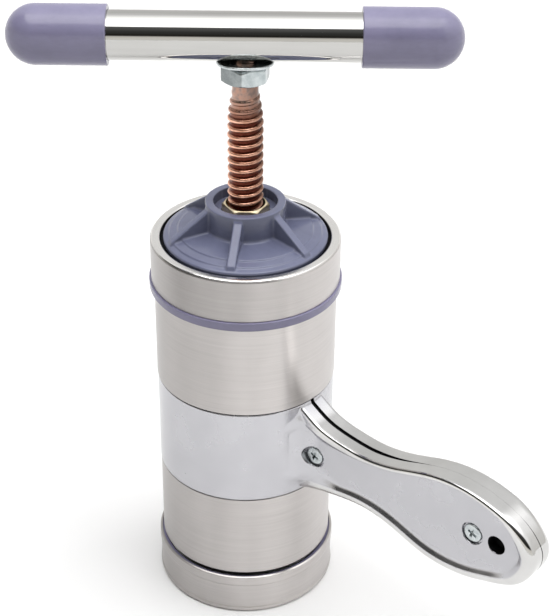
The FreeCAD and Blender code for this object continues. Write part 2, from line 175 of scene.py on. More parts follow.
def studio():
    w = bpy.data.worlds.new("studio")
    bpy.context.scene.world = w
    w.use_nodes = True
    t = w.node_tree
    t.nodes.clear()
    new = t.nodes.new
    link = t.links.new
    out = new("ShaderNodeOutputWorld")
    bg = new("ShaderNodeBackground")
    tc = new("ShaderNodeTexCoord")
    rot = new("ShaderNodeVectorRotate")
    rot.rotation_type = "Z_AXIS"
    rot.inputs["Angle"].default_value = -TURN
    link(tc.outputs["Generated"], rot.inputs["Vector"])
    sep = new("ShaderNodeSeparateXYZ")
    link(rot.outputs[0], sep.inputs[0])

    def math_(op, a, b=None, c=None):
        n = new("ShaderNodeMath")
        n.operation = op
        for i, v in enumerate((a, b, c)):
            if v is None:
                continue
            if hasattr(v, "links"):
                link(v, n.inputs[i])
            else:
                n.inputs[i].default_value = v
        return n.outputs[0]

    def ramp(fac, stops, mode="EASE"):
        n = new("ShaderNodeValToRGB")
        n.color_ramp.interpolation = mode
        e = n.color_ramp.elements
        while len(e) > 1:
            e.remove(e[-1])
        e[0].position, e[0].color = stops[0][0], (*stops[0][1], 1)
        for p, c in stops[1:]:
            k = e.new(p)
            k.color = (*c, 1)
        link(fac, n.inputs[0])
        return n.outputs[0]

    x, y, z = sep.outputs
    up = math_("MULTIPLY_ADD", z, 0.5, 0.5)           # 0 nadir, 0.5 horizon, 1 zenith
    bright = ramp(up, [(0.0, (1, 1, 1)), (0.44, (1.0, 0.995, 0.985)), (0.52, (0.86, 0.85, 0.82)), (0.66, (0.92, 0.91, 0.89)),
                       (0.80, (1.25, 1.25, 1.25)), (0.90, (2.0, 2.0, 2.0)), (0.94, (3.6, 3.6, 3.6)), (1.0, (3.8, 3.8, 3.8))])
    dark = ramp(up, [(0.0, (1, 1, 1)), (0.50, (0.98, 0.97, 0.93)), (0.605, (0.90, 0.87, 0.81)), (0.665, (0.022, 0.020, 0.016)),
                     (0.77, (0.05, 0.05, 0.048)), (0.915, (0.14, 0.14, 0.14)), (0.945, (3.6, 3.6, 3.6)), (1.0, (3.8, 3.8, 3.8))])
    # the dark part of the room: before the bench and to its left
    ca, sa = math.cos(math.radians(-128)), math.sin(math.radians(-128))
    flat = math_("SQRT", math_("ADD", math_("MULTIPLY", x, x), math_("MULTIPLY", y, y)))
    side = math_("DIVIDE", math_("ADD", math_("MULTIPLY", x, ca), math_("MULTIPLY", y, sa)), math_("MAXIMUM", flat, 0.001))
    mask = ramp(math_("MULTIPLY_ADD", side, 0.5, 0.5), [(0.50, (0, 0, 0)), (0.62, (1, 1, 1))])
    behind = ramp(up, [(0.0, (1, 1, 1)), (0.50, (0.98, 0.97, 0.95)), (0.60, (0.78, 0.775, 0.76)), (0.80, (0.78, 0.78, 0.77)),
                       (0.90, (0.95, 0.95, 0.95)), (0.94, (1.25, 1.25, 1.25)), (0.985, (1.9, 1.9, 1.9)), (1.0, (3.6, 3.6, 3.6))])
    rear = math_("DIVIDE", y, math_("MAXIMUM", flat, 0.001))
    rear_mask = ramp(math_("MULTIPLY_ADD", rear, 0.5, 0.5), [(0.70, (0, 0, 0)), (0.86, (1, 1, 1))])
    room = new("ShaderNodeMix")
    room.data_type = "RGBA"
    link(rear_mask, room.inputs[0])
    link(bright, room.inputs[6])
    link(behind, room.inputs[7])
    mix = new("ShaderNodeMix")
    mix.data_type = "RGBA"
    link(mask, mix.inputs[0])
    link(room.outputs[2], mix.inputs[6])
    link(dark, mix.inputs[7])
    link(mix.outputs[2], bg.inputs["Color"])
    bg.inputs["Strength"].default_value = 1.0
    link(bg.outputs[0], out.inputs[0])


studio()


def area(name, at, to, size, watts, colour=(1, 1, 1)):
    d = bpy.data.lights.new(name, "AREA")
    d.shape = "RECTANGLE"
    d.size, d.size_y = size
    d.energy = watts
    d.color = colour
    o = bpy.data.objects.new(name, d)
    bpy.context.scene.collection.objects.link(o)
    o.location = at
    o.rotation_mode = "QUATERNION"
    o.rotation_quaternion = (Vector(to) - Vector(at)).to_track_quat("-Z", "Y")
    return o


# ------------------------------------------------------------------ node helpers
class Mat:
    """a material with its Principled shader and short calls for nodes"""

    def __init__(self, name, **sockets):
        self.m = bpy.data.materials.new(name)
        self.m.use_nodes = True
        self.t = self.m.node_tree
        self.t.nodes.clear()
        self.out = self.t.nodes.new("ShaderNodeOutputMaterial")
        self.b = self.t.nodes.new("ShaderNodeBsdfPrincipled")
        self.link(self.b.outputs[0], self.out.inputs[0])
        for k, v in sockets.items():
            self.b.inputs[k.replace("_", " ")].default_value = v

    def link(self, a, b):
        self.t.links.new(a, b)

    def put(self, v, socket):
        if hasattr(v, "links"):
            self.link(v, socket)
        else:
            socket.default_value = v

    def coords(self, scale=(1, 1, 1), rot=0.0):
        """object coordinates in millimetres times scale"""
        tc = self.t.nodes.new("ShaderNodeTexCoord")
        src = tc.outputs["Object"]
        if rot:
            r = self.t.nodes.new("ShaderNodeVectorRotate")
            r.rotation_type = "Z_AXIS"
            r.inputs["Angle"].default_value = -rot
            self.link(src, r.inputs["Vector"])
            src = r.outputs[0]
        m = self.t.nodes.new("ShaderNodeMapping")
        m.inputs["Scale"].default_value = tuple(1000 * s for s in scale)
        self.link(src, m.inputs["Vector"])
        return m.outputs[0]

    def noise(self, vec, scale=1.0, detail=2.0, rough=0.5, distortion=0.0):
        n = self.t.nodes.new("ShaderNodeTexNoise")
        n.inputs["Scale"].default_value = scale
        n.inputs["Detail"].default_value = detail
        n.inputs["Roughness"].default_value = rough
        n.inputs["Distortion"].default_value = distortion
        self.link(vec, n.inputs["Vector"])
        return n.outputs["Fac"]

    def math(self, op, a, b=None, c=None, clamp=False):
        n = self.t.nodes.new("ShaderNodeMath")
        n.operation = op
        n.use_clamp = clamp
        for i, v in enumerate((a, b, c)):
            if v is not None:
                self.put(v, n.inputs[i])
        return n.outputs[0]

    def range(self, v, a, b, c, d, smooth=False):
        n = self.t.nodes.new("ShaderNodeMapRange")
        n.interpolation_type = "SMOOTHSTEP" if smooth else "LINEAR"
        self.put(v, n.inputs[0])
        for i, x in enumerate((a, b, c, d)):
            self.put(x, n.inputs[1 + i])
        return n.outputs[0]

    def mix(self, fac, a, b, kind="MIX"):
        n = self.t.nodes.new("ShaderNodeMix")
        n.data_type = "RGBA"
        n.blend_type = kind
        self.put(fac, n.inputs[0])
        self.put((*a, 1) if isinstance(a, tuple) else a, n.inputs[6])
        self.put((*b, 1) if isinstance(b, tuple) else b, n.inputs[7])
        return n.outputs[2]

    def bump(self, height, strength, distance, normal=None):
        n = self.t.nodes.new("ShaderNodeBump")
        n.inputs["Strength"].default_value = strength
        n.inputs["Distance"].default_value = distance * MM
        self.link(height, n.inputs["Height"])
        if normal is not None:
            self.link(normal, n.inputs["Normal"])
        return n.outputs[0]

    def radius(self):
        tc = self.t.nodes.new("ShaderNodeTexCoord")
        s = self.t.nodes.new("ShaderNodeSeparateXYZ")
        self.link(tc.outputs["Object"], s.inputs[0])
        r = self.math("SQRT", self.math("ADD", self.math("MULTIPLY", s.outputs[0], s.outputs[0]),
                                        self.math("MULTIPLY", s.outputs[1], s.outputs[1])))
        return self.math("MULTIPLY", r, 1000.0), self.math("MULTIPLY", s.outputs[2], 1000.0)

    def round(self, col, stops):
        """colour times a painted side shade: a soft tone that runs from one side of the axis (-1) to the other (1),
        painting the light and reflection that fall unevenly round the part
        """
        s = self.t.nodes.new("ShaderNodeSeparateXYZ")
        self.link(self.coords(rot=TURN), s.inputs[0])
        r = self.math("SQRT", self.math("ADD", self.math("MULTIPLY", s.outputs[0], s.outputs[0]),
                                        self.math("MULTIPLY", s.outputs[1], s.outputs[1])))
        u = self.math("DIVIDE", s.outputs[0], self.math("MAXIMUM", r, 0.01))
        return self.mix(1.0, col, self.steps(self.math("MULTIPLY_ADD", u, 0.5, 0.5), [(0.5 + 0.5 * a, k) for a, k in stops]), "MULTIPLY")

    def steps(self, fac, stops):
        n = self.t.nodes.new("ShaderNodeValToRGB")
        n.color_ramp.interpolation = "EASE"
        e = n.color_ramp.elements
        while len(e) > 1:
            e.remove(e[-1])
        e[0].position, e[0].color = stops[0][0], (stops[0][1],) * 3 + (1,)
        for a, k in stops[1:]:
            e.new(a).color = (k, k, k, 1)
        self.link(fac, n.inputs[0])
        return n.outputs[0]

    def facing(self, col, stops):
        """colour times a painted top light: a tone that follows how far a surface faces up, -1 down, 0 upright, 1 up,
        so tops and sides are painted in the light and shade that light from above would give them
        """
        tc = self.t.nodes.new("ShaderNodeTexCoord")
        s = self.t.nodes.new("ShaderNodeSeparateXYZ")
        self.link(tc.outputs["Normal"], s.inputs[0])
        return self.mix(1.0, col, self.steps(self.math("MULTIPLY_ADD", s.outputs[2], 0.5, 0.5), [(0.5 + 0.5 * a, k) for a, k in stops]), "MULTIPLY")

    def attribute(self, name):
        n = self.t.nodes.new("ShaderNodeAttribute")
        n.attribute_name = name
        return n.outputs["Fac"]

    def tangent_z(self):
        n = self.t.nodes.new("ShaderNodeTangent")
        n.direction_type = "RADIAL"
        n.axis = "Z"
        self.link(n.outputs[0], self.b.inputs["Tangent"])

    def set(self, **links):
        for k, v in links.items():
            self.put(v, self.b.inputs[k.replace("_", " ")])
        return self.m


def brushed(name, lo, hi, bands, rough=(0.27, 0.36), aniso=0.7, burnished=None):
    """turned steel with its grain round the barrel, painted darker on one side and lighter on the other as shade and
    reflection; the last argument is the height above which the edge is polished and also painted lighter as a
    highlight, with the rim's inner wall painted black as shade
    """
    m = Mat(name, Metallic=1.0, Anisotropic=aniso, Anisotropic_Rotation=0.25)
    fine = m.noise(m.coords((0.05, 0.05, 7.0)), 1.0, 4.0, 0.65)
    streak = m.noise(m.coords((0.02, 0.02, 1.3)), 1.0, 3.0, 0.55)
    cloud = m.noise(m.coords((0.05, 0.05, 0.035)), 1.0, 3.0, 0.55)
    grain = m.math("ADD", m.math("MULTIPLY", fine, 0.6), m.math("MULTIPLY", streak, 0.4))
    tone = m.range(m.math("ADD", m.math("MULTIPLY", grain, 0.65), m.math("MULTIPLY", cloud, 0.35)), 0.36, 0.64, 0.0, 1.0)
    m.tangent_z()
    # painted side shade: the steel darkened on one side of the barrel and lightened on the other
    col = m.round(m.mix(tone, lo, hi), bands)
    soft = m.range(grain, 0.3, 0.7, rough[0], rough[1])
    if burnished:
        # above this height the edge is polished and its colour also painted lighter as a highlight
        r, z = m.radius()
        edge = m.range(z, burnished, burnished + 0.5, 0.0, 1.0, True)
        col = m.mix(edge, col, m.mix(tone, (0.80, 0.785, 0.77), (0.90, 0.885, 0.87)))
        soft = m.math("MULTIPLY", soft, m.range(edge, 0.0, 1.0, 1.0, 0.6))
        # painted shade: the inner wall of the rolled rim painted black as the dark gap beside the deck
        rim_gap_shade = m.math("MULTIPLY", m.range(r, 29.1, 29.3, 1.0, 0.0, True), m.range(z, 141.32, 141.38, 1.0, 0.0))
        col = m.mix(rim_gap_shade, col, (0.012, 0.012, 0.013))
    return m.set(Base_Color=col, Roughness=soft, Normal=m.bump(grain, 0.22, 0.02))


def chrome(name):
    """satin plating of the side handle: polished on its rims, softer on the panel and the band"""
    m = Mat(name, Metallic=1.0)
    cloud = m.noise(m.coords((0.06, 0.06, 0.06)), 1.0, 4.0, 0.55)
    wave = m.noise(m.coords((0.11, 0.11, 0.11)), 1.0, 2.0, 0.5)
    grain = m.noise(m.coords((2.2, 2.2, 2.2)), 1.0, 3.0, 0.6)
    rim = m.attribute("rim")
    soft = m.range(cloud, 0.3, 0.7, 0.22, 0.30)
    rough = m.math("MULTIPLY", soft, m.range(rim, 0.0, 1.0, 1.0, 0.30))
    n1 = m.bump(wave, 0.35, 0.12)
    n2 = m.bump(grain, 0.10, 0.015, n1)
    body = m.mix(m.range(cloud, 0.35, 0.65, 0, 1), (0.505, 0.502, 0.527), (0.55, 0.547, 0.572))
    # painted side shade: the band and panel painted darker on one side and lighter on the other
    body = m.round(body, [(-1.0, 0.90), (-0.86, 0.90), (-0.44, 0.93), (0.04, 1.0), (0.45, 1.06), (0.66, 0.96), (0.75, 0.93), (1.0, 0.93)])
    return m.set(Base_Color=m.mix(rim, body, m.mix(m.range(cloud, 0.35, 0.65, 0, 1), (0.60, 0.595, 0.588), (0.68, 0.675, 0.668))),
                 Roughness=rough, Normal=n2)


# faces sets a painted top light: surfaces facing up are painted lighter and those facing sideways or down darker
def plastic(name, base, light, rough=(0.30, 0.40), faces=((-1.0, 1.0), (1.0, 1.0))):
    m = Mat(name, IOR=1.5, Specular_IOR_Level=0.5)
    cloud = m.noise(m.coords((0.07, 0.07, 0.07)), 1.0, 4.0, 0.6)
    grain = m.noise(m.coords((2.6, 2.6, 2.6)), 1.0, 2.0, 0.6)
    flow = m.noise(m.coords((0.25, 0.25, 0.9)), 1.0, 3.0, 0.55, 0.6)
    tone = m.math("ADD", m.math("MULTIPLY", cloud, 0.7), m.math("MULTIPLY", flow, 0.3))
    n1 = m.bump(cloud, 0.3, 0.12)
    return m.set(Base_Color=m.facing(m.mix(m.range(tone, 0.35, 0.65, 0, 1), base, light), faces),
                 Roughness=m.range(m.math("ADD", m.math("MULTIPLY", grain, 0.5), m.math("MULTIPLY", flow, 0.5)), 0.3, 0.7, rough[0], rough[1]),
                 Normal=m.bump(grain, 0.12, 0.02, n1))


def copper(name):
    m = Mat(name, Metallic=1.0)
    r, z = m.radius()
    blotch = m.noise(m.coords((0.45, 0.45, 0.45)), 1.0, 4.0, 0.6)
    fine = m.noise(m.coords((1.2, 1.2, 6.0)), 1.0, 3.0, 0.6)
    high = m.range(r, 5.05, 5.85, 0.0, 1.0, True)
    shank = m.range(z, 184.0, 193.0, 0.0, 1.0, True)
    high = m.math("MAXIMUM", high, shank)
    crest = m.mix(m.range(blotch, 0.35, 0.65, 0, 1), (0.47, 0.235, 0.155), (0.80, 0.46, 0.335))
    crest = m.mix(m.math("MULTIPLY", shank, m.range(blotch, 0.38, 0.62, 0.45, 1.0)), crest, (0.22, 0.165, 0.145))
    # painted shade: the thread's grooves painted near black under the lighter crests, as the shade between them
    col = m.mix(high, m.mix(m.range(fine, 0.35, 0.65, 0, 1), (0.05, 0.010, 0.006), (0.15, 0.04, 0.025)), crest)
    # painted light and shade: the thread painted lighter on one side and darker on the other
    col = m.round(col, [(-1.0, 1.25), (-0.5, 1.15), (0.1, 0.95), (0.6, 0.66), (1.0, 0.5)])
    rough = m.math("ADD", m.range(high, 0, 1, 0.34, 0.14), m.range(fine, 0.3, 0.7, -0.04, 0.07))
    return m.set(Base_Color=col, Roughness=rough, Normal=m.bump(fine, 0.25, 0.03))


def metal(name, lo, hi, rough, scale=0.5, bump=0.15, stretch=(1, 1, 1), rot=0.0, bands=((-1.0, 1.0), (1.0, 1.0))):
    m = Mat(name, Metallic=1.0)
    cloud = m.noise(m.coords(tuple(0.3 * scale * s for s in stretch), rot), 1.0, 4.0, 0.6)
    fine = m.noise(m.coords(tuple(4.0 * scale * s for s in stretch), rot), 1.0, 3.0, 0.6)
    # the last argument paints shade and light from one side of the part to the other; flat unless given
    return m.set(Base_Color=m.round(m.mix(m.range(cloud, 0.35, 0.65, 0, 1), lo, hi), bands),
                 Roughness=m.range(m.math("ADD", m.math("MULTIPLY", fine, 0.5), m.math("MULTIPLY", cloud, 0.5)), 0.35, 0.65, rough[0], rough[1]),
                 Normal=m.bump(fine, bump, 0.015))


def rubber(name, lo, hi):
    m = Mat(name, IOR=1.45)
    fine = m.noise(m.coords((1.5, 1.5, 1.5)), 1.0, 4.0, 0.65)
    cloud = m.noise(m.coords((0.12, 0.12, 0.12)), 1.0, 2.0, 0.5)
    return m.set(Base_Color=m.mix(m.range(cloud, 0.35, 0.65, 0, 1), lo, hi), Roughness=m.range(fine, 0.3, 0.7, 0.5, 0.66),
                 Normal=m.bump(fine, 0.3, 0.03))


# the last list of each is painted side shade: the sleeves painted darker on one side of the barrel and lighter on the
# other; the lid rim also takes a painted highlight and a painted black gap
STEEL = brushed("brushed_steel", (0.455, 0.432, 0.422), (0.555, 0.530, 0.518),
                [(-1.0, 0.76), (-0.7, 0.82), (-0.38, 0.88), (0.04, 1.06), (0.35, 1.17), (0.65, 1.08), (0.80, 1.08), (1.0, 1.04)])
STEEL_LID = brushed("brushed_steel_lid", (0.44, 0.418, 0.408), (0.54, 0.515, 0.503),
                    [(-1.0, 0.78), (-0.86, 0.76), (-0.64, 0.62), (-0.40, 0.73), (-0.08, 0.82), (0.19, 1.0), (0.52, 1.01), (0.81, 1.12), (1.0, 1.08)], burnished=140.7)
CHROME = chrome("satin_chrome")
# painted top light: the caps painted lighter on top and darker underneath
PURPLE = plastic("grey_violet_plastic", (0.172, 0.163, 0.252), (0.204, 0.193, 0.296), (0.16, 0.25),
                 ((-1.0, 0.72), (-0.4, 0.78), (0.3, 0.96), (0.7, 1.25), (1.0, 1.45)))
# painted shade: the upright walls of the hub and ribs painted darker than the deck
LID_BLUE = plastic("lid_plastic", (0.160, 0.172, 0.268), (0.192, 0.206, 0.312), (0.15, 0.24),
                   ((-1.0, 0.5), (0.15, 0.56), (0.55, 0.86), (0.85, 1.0), (1.0, 1.0)))
COPPER = copper("worn_copper_plate")
ZINC = metal("zinc_plate", (0.42, 0.455, 0.465), (0.64, 0.675, 0.68), (0.20, 0.34), 1.0, 0.3)
# painted shade: the nut's faces on one side painted darker than on the other, as the uneven reflections round it
ZINC_NUT = metal("zinc_plate_nut", (0.40, 0.445, 0.455), (0.60, 0.645, 0.65), (0.20, 0.34), 1.0, 0.3, bands=[(-1.0, 0.44), (-0.16, 0.52), (-0.08, 0.95), (0.9, 1.0), (1.0, 0.6)])
BRASS = metal("turned_brass", (0.82, 0.69, 0.45), (0.93, 0.82, 0.60), (0.34, 0.46), 1.0, 0.2)
TUBE = metal("polished_tube", (0.50, 0.495, 0.48), (0.54, 0.535, 0.52), (0.045, 0.075), 1.0, 0.03, (0.08, 1, 1), BAR_AZ)
ALU = metal("machined_aluminium", (0.50, 0.50, 0.50), (0.62, 0.62, 0.615), (0.28, 0.40), 1.0, 0.2, (0.1, 0.1, 3.0))
# painted shade: a near-black finish for the faces of gaps, the hang hole and the seam, where only shade falls
GAP_SHADE = metal("raw_dark_casting", (0.012, 0.012, 0.013), (0.03, 0.03, 0.032), (0.55, 0.75), 1.0, 0.5)


def joints_dark():
    """painted shade: the casting painted near black in the narrow spans where the sleeves meet the band and the collar,
    as the shadow in those joints
    """
    m = Mat("machined_aluminium_joints", Metallic=1.0)
    r, z = m.radius()
    fine = m.noise(m.coords((0.4, 0.4, 12.0)), 1.0, 3.0, 0.6)
    joint_shade = None
    # height spans of the painted joint shade
    for lo, hi in ((16.6, 18.6), (50.0, 51.4), (87.0, 88.6), (121.6, 122.6)):
        a = m.range(z, lo - 0.2, lo, 0.0, 1.0, True)
        b = m.range(z, hi, hi + 0.2, 1.0, 0.0, True)
        q = m.math("MULTIPLY", a, b)
        joint_shade = q if joint_shade is None else m.math("MAXIMUM", joint_shade, q)
    joint_shade = m.math("MULTIPLY", joint_shade, m.range(r, 28.3, 28.5, 0.0, 1.0))
    unshaded = m.mix(m.range(fine, 0.35, 0.65, 0, 1), (0.50, 0.50, 0.50), (0.62, 0.62, 0.615))
    return m.set(Base_Color=m.mix(joint_shade, unshaded, (0.006, 0.006, 0.006)), Roughness=m.math("MAXIMUM", m.range(fine, 0.3, 0.7, 0.28, 0.40), m.math("MULTIPLY", joint_shade, 0.8)),
                 Normal=m.bump(fine, 0.2, 0.015))


CORE = joints_dark()
SEAL = rubber("soft_seal", (0.62, 0.62, 0.60), (0.70, 0.70, 0.68))
DIE = plastic("pale_die_plastic", (0.62, 0.62, 0.60), (0.70, 0.70, 0.68), (0.34, 0.46))


# ------------------------------------------------------------------ mesh helpers
def make(name, verts, faces, material, body, slot, replaces=(), smooth=True, sharp=32.0, weighted=True, merge=0.0, marks=None):
    """an object from points in millimetres"""
    me = bpy.data.meshes.new(name)
    me.from_pydata([tuple(float(c) * MM for c in v) for v in verts], [], [tuple(f) for f in faces])
    bm = bmesh.new()
    bm.from_mesh(me)
    if merge:
        bmesh.ops.remove_doubles(bm, verts=bm.verts, dist=merge * MM)
    bmesh.ops.recalc_face_normals(bm, faces=bm.faces)
    limit = math.radians(sharp)
    for e in bm.edges:
        e.smooth = not (len(e.link_faces) == 2 and e.calc_face_angle(0) > limit)
    for f in bm.faces:
        f.smooth = smooth
    bm.to_mesh(me)
    bm.free()
    me.update()
    for key, values in (marks or {}).items():
        me.attributes.new(key, "FLOAT", "POINT").data.foreach_set("value", np.asarray(values, np.float32))
    ob = bpy.data.objects.new(name, me)
    bpy.context.scene.collection.objects.link(ob)
    me.materials.append(material)
    if weighted:
        w = ob.modifiers.new("even_normals", "WEIGHTED_NORMAL")
        w.keep_sharp = True
    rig.ride(ob, body)
    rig.slot(ob, slot)
    if replaces:
        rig.replaces(ob, *replaces)
    return ob


def fillets(poly, n=6):
    """closed polygon of (a, b) or (a, b, radius), its corners rounded"""
    out = []
    count = len(poly)
    for i in range(count):
        p = poly[i]
        x, y = p[0], p[1]
        rad = p[2] if len(p) > 2 else 0.0
        if rad <= 0:
            out.append((x, y))
            continue
        ax, ay = poly[i - 1][0] - x, poly[i - 1][1] - y
        bx, by = poly[(i + 1) % count][0] - x, poly[(i + 1) % count][1] - y
        la, lb = math.hypot(ax, ay), math.hypot(bx, by)
        ax, ay, bx, by = ax / la, ay / la, bx / lb, by / lb
        ang = math.acos(max(-1, min(1, ax * bx + ay * by)))
        if ang > math.pi - 0.02:
            out.append((x, y))
            continue
        t = min(rad / math.tan(ang / 2), 0.48 * la, 0.48 * lb)
        r = t * math.tan(ang / 2)
        mx, my = ax + bx, ay + by
        ml = math.hypot(mx, my)
        d = r / math.sin(ang / 2)
        cx, cy = x + mx / ml * d, y + my / ml * d
        s = math.atan2(y + ay * t - cy, x + ax * t - cx)
        e = math.atan2(y + by * t - cy, x + bx * t - cx)
        sweep = (e - s + math.pi) % (2 * math.pi) - math.pi
        steps = max(2, int(math.ceil(abs(math.degrees(sweep)) / 90 * n)))
        for k in range(steps + 1):
            a = s + sweep * k / steps
            out.append((cx + r * math.cos(a), cy + r * math.sin(a)))
    return out


def revolved(poly, segs=180, warp=None):
    """points and faces of a closed (r, z) polygon turned about Z; poles are single points"""
    verts, faces, rings = [], [], []
    for r, z in poly:
        if r < 1e-6:
            rings.append([len(verts)] * segs)
            verts.append((0.0, 0.0, z))
        else:
            rings.append(list(range(len(verts), len(verts) + segs)))
            for k in range(segs):
                a = 2 * math.pi * k / segs
                verts.append((r * math.cos(a), r * math.sin(a), z))
    m = len(rings)
    for i in range(m):
        a, b = rings[i], rings[(i + 1) % m]
        if a[0] == a[-1] and b[0] == b[-1]:
            continue
        for k in range(segs):
            q = [a[k], a[(k + 1) % segs], b[(k + 1) % segs], b[k]]
            q = [v for j, v in enumerate(q) if v not in q[:j]]
            if len(q) > 2:
                faces.append(q)
    if warp:
        verts = [warp(*v) for v in verts]
    return verts, faces


def joined(*parts):
    verts, faces = [], []
    for v, f in parts:
        o = len(verts)
        verts += list(v)
        faces += [[i + o for i in q] for q in f]
    return verts, faces


def on_bar(x, y, z):
    """from (around, around, along) with the tube along local z to its place on the crossbar"""
    s, q, h = z, y, x
    c, d = math.cos(BAR_AZ), math.sin(BAR_AZ)
    return (c * s - d * q, d * s + c * q, TUBE_Z + h)


def lathed(name, poly, material, body, slot, replaces=(), segs=180, warp=None, n=6, **kw):
    v, f = revolved(fillets(poly, n), segs, warp)
    return make(name, v, f, material, body, slot, replaces, **kw)


# ------------------------------------------------------------------ blended solids
def rmax(a, b, r):
    """both at once, the convex edge rounded by r"""
    u, v = a + r, b + r
    return np.hypot(np.maximum(u, 0), np.maximum(v, 0)) + np.minimum(np.maximum(u, v), 0) - r


def rmin(a, b, r):
    """either one, the concave corner filled by r"""
    return np.maximum(r, np.minimum(a, b)) - np.hypot(np.maximum(r - a, 0), np.maximum(r - b, 0))


def net(f, lo, hi, h, steps=4):
    """closed mesh of f < 0: one point per crossed cell, then drawn onto the surface"""
    n = [int(math.ceil((b - a) / h)) + 1 for a, b in zip(lo, hi)]
    ax_ = [lo[i] + h * np.arange(n[i]) for i in range(3)]
    V = np.empty(n, np.float32)
    for i in range(0, n[0], 24):
        X, Y, Z_ = np.meshgrid(ax_[0][i:i + 24], ax_[1], ax_[2], indexing="ij")
        V[i:i + 24] = f(X, Y, Z_)
    inside = V < 0
    cells = [k - 1 for k in n]
    ids, pos, quads = [], [], []
    for ax in range(3):
        s0, s1 = [slice(None)] * 3, [slice(None)] * 3
        s0[ax], s1[ax] = slice(0, -1), slice(1, None)
        I = np.argwhere(inside[tuple(s0)] != inside[tuple(s1)])
        o1, o2 = ((1, 2), (2, 0), (0, 1))[ax]
        I = I[(I[:, o1] > 0) & (I[:, o2] > 0) & (I[:, o1] < n[o1] - 1) & (I[:, o2] < n[o2] - 1)]
        va = V[tuple(s0)][tuple(I.T)].astype(float)
        vb = V[tuple(s1)][tuple(I.T)].astype(float)
        P = np.array(lo, float) + h * I
        P[:, ax] += h * va / (va - vb)
        ring = []
        for da, db in ((-1, -1), (0, -1), (0, 0), (-1, 0)):
            J = I.copy()
            J[:, o1] += da
            J[:, o2] += db
            ring.append((J[:, 0] * cells[1] + J[:, 1]) * cells[2] + J[:, 2])
            ids.append(ring[-1])
            pos.append(P)
        Q = np.stack(ring, 1)
        out = va >= 0
        Q[out] = Q[out][:, ::-1]
        quads.append(Q)
    ids, pos, Q = np.concatenate(ids), np.concatenate(pos), np.concatenate(quads)
    uniq, inv = np.unique(ids, return_inverse=True)
    inv = inv.ravel()
    count = np.bincount(inv)
    v = np.stack([np.bincount(inv, pos[:, k]) for k in range(3)], 1) / count[:, None]
    e = 0.02
    for _ in range(steps):
        x, y, z = v.T
        g = np.stack([f(x + e, y, z) - f(x - e, y, z), f(x, y + e, z) - f(x, y - e, z), f(x, y, z + e) - f(x, y, z - e)], 1) / (2 * e)
        move = -(f(x, y, z) / np.maximum((g * g).sum(1), 0.1))[:, None] * g
        size = np.linalg.norm(move, axis=1)
        v = v + move * np.minimum(1.0, 0.5 * h / np.maximum(size, 1e-9))[:, None]
    return v, np.searchsorted(uniq, Q)


# ------------------------------------------------------------------ sleeves
lathed("lower_sleeve_skin", [(30.62, 17.7), (31.1, 17.7, 0.22), (31.1, 50.72, 0.15), (30.62, 50.72)],
       STEEL, "barrel", "brushed_sleeve", ("lower_sleeve",))
lathed("upper_sleeve_skin", [(31.0, 87.92), (31.5, 87.92, 0.25), (31.5, 122.1, 0.2), (31.0, 122.1)],
       STEEL, "barrel", "brushed_sleeve", ("upper_sleeve",))

# lid sleeve with its rim rolled inwards
roll = [(32.5, 140.5, 0.6), (31.9, 141.3, 0.9), (31.2, 141.4, 0.8), (29.5, 141.3, 1.0), (28.75, 140.55, 0.7), (28.8, 139.86, 0.1), (29.2, 139.86, 0.1)]
back_roll = [(29.3, 140.5, 0.3), (30.3, 140.9, 0.5), (31.6, 140.8, 0.4), (31.98, 140.2, 0.2)]
lathed("lid_sleeve_skin", [(31.98, 125.76), (32.5, 125.76, 0.22)] + roll + back_roll,
       STEEL_LID, "lid", "brushed_sleeve", ("lid_sleeve",))

# screwed collar at the foot
lathed("bottom_collar_skin", [(27.0, 0.05, 0.2), (31.7, 0.0, 0.3), (32.5, 0.85, 0.5), (32.45, 1.9, 0.3), (32.2, 2.4, 0.3),
                              (32.2, 12.0, 0.4), (32.5, 12.9, 0.4), (32.5, 16.1, 0.35), (31.85, 16.4, 0.2), (31.58, 16.4, 0.1),
                              (31.58, 0.85), (27.0, 0.85, 0.2)],
       STEEL, "collar", "brushed_sleeve", ("bottom_collar",))


